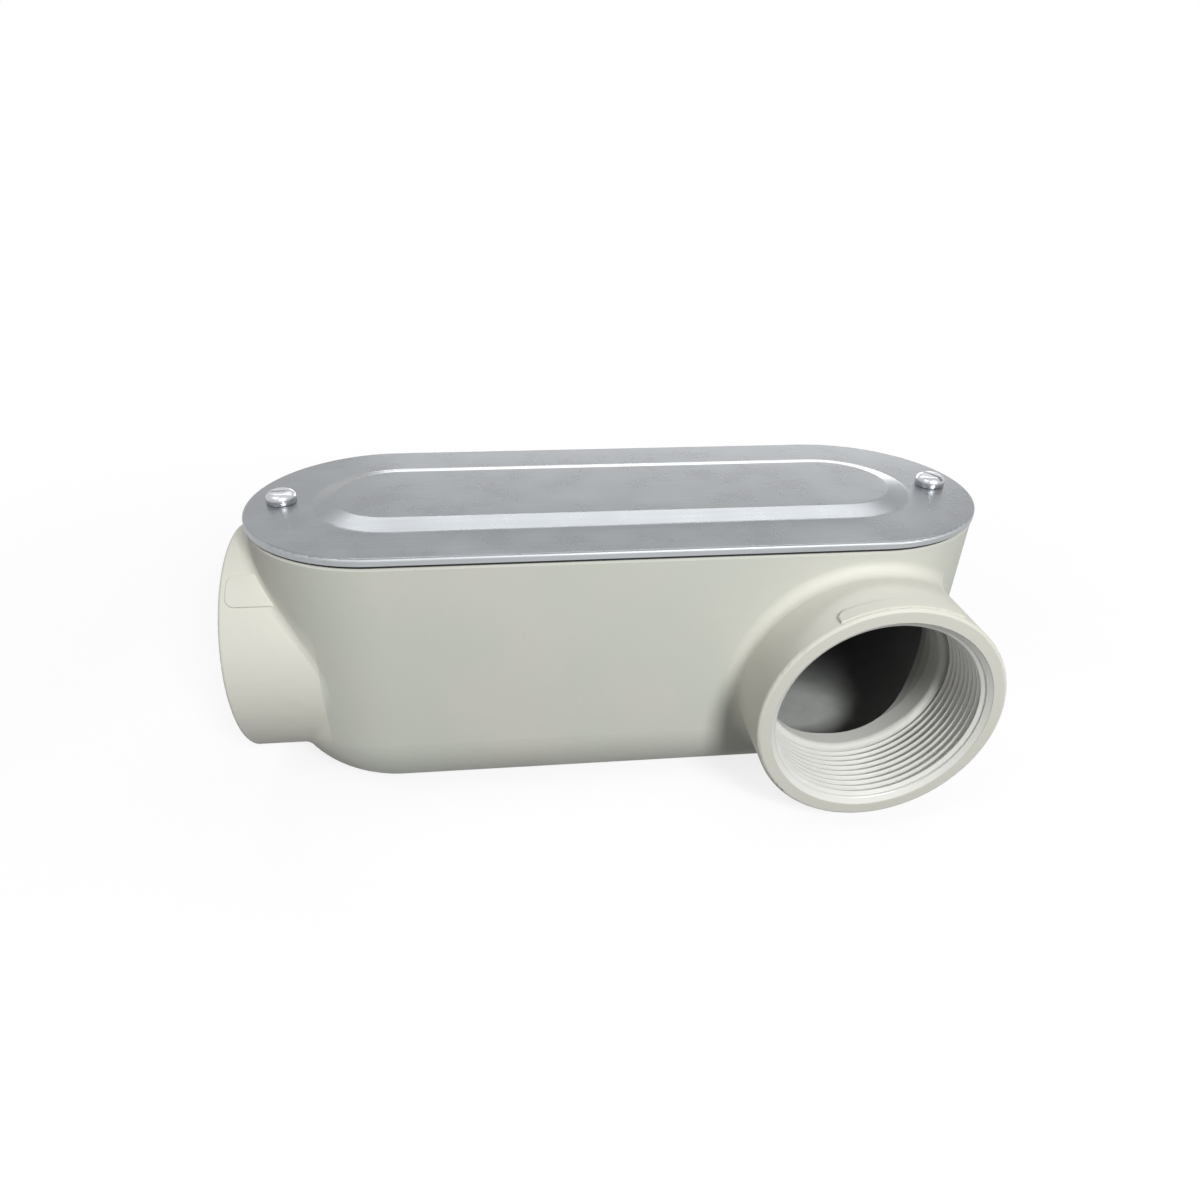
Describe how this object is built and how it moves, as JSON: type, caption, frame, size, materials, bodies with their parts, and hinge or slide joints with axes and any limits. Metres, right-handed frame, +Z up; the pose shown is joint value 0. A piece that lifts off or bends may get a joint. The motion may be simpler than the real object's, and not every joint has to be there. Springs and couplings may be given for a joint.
{
  "type": "conduit body",
  "caption": "Threaded conduit body with an end hub, a side hub at the far end and a gasketed screw-down cover, for turning and pulling cable in rigid conduit.",
  "frame": {"origin": "centre of the flat base, under the middle of the cover", "axes": "+Z up towards the cover, +X along the body away from the end hub; the side hub opens towards -Y"},
  "size_m": [0.33, 0.149, 0.1314],
  "materials": {
    "casting": "aluminium casting under a warm light grey lacquer, matt with a slight sheen",
    "cover": "satin aluminium",
    "gasket": "matt black",
    "screw": "bright zinc plate"
  },
  "bodies": {
    "housing": {"body": "casting"},
    "cover": {"cover": "cover", "gasket": "gasket"},
    "left_screw": {"cover_screw_left": "screw"},
    "right_screw": {"cover_screw_right": "screw"}
  },
  "joints": [
    {"name": "cover_lift", "type": "slide", "parent": "housing", "child": "cover", "axis": [0, 0, 1], "range_m": [0, 0.06]},
    {"name": "left_screw_turn", "type": "hinge", "parent": "cover", "child": "left_screw", "pos_m": [-0.146, 0, 0.1266], "axis": [0, 0, 1], "continuous": true},
    {"name": "right_screw_turn", "type": "hinge", "parent": "cover", "child": "right_screw", "pos_m": [0.146, 0, 0.1266], "axis": [0, 0, 1], "continuous": true}
  ]
}
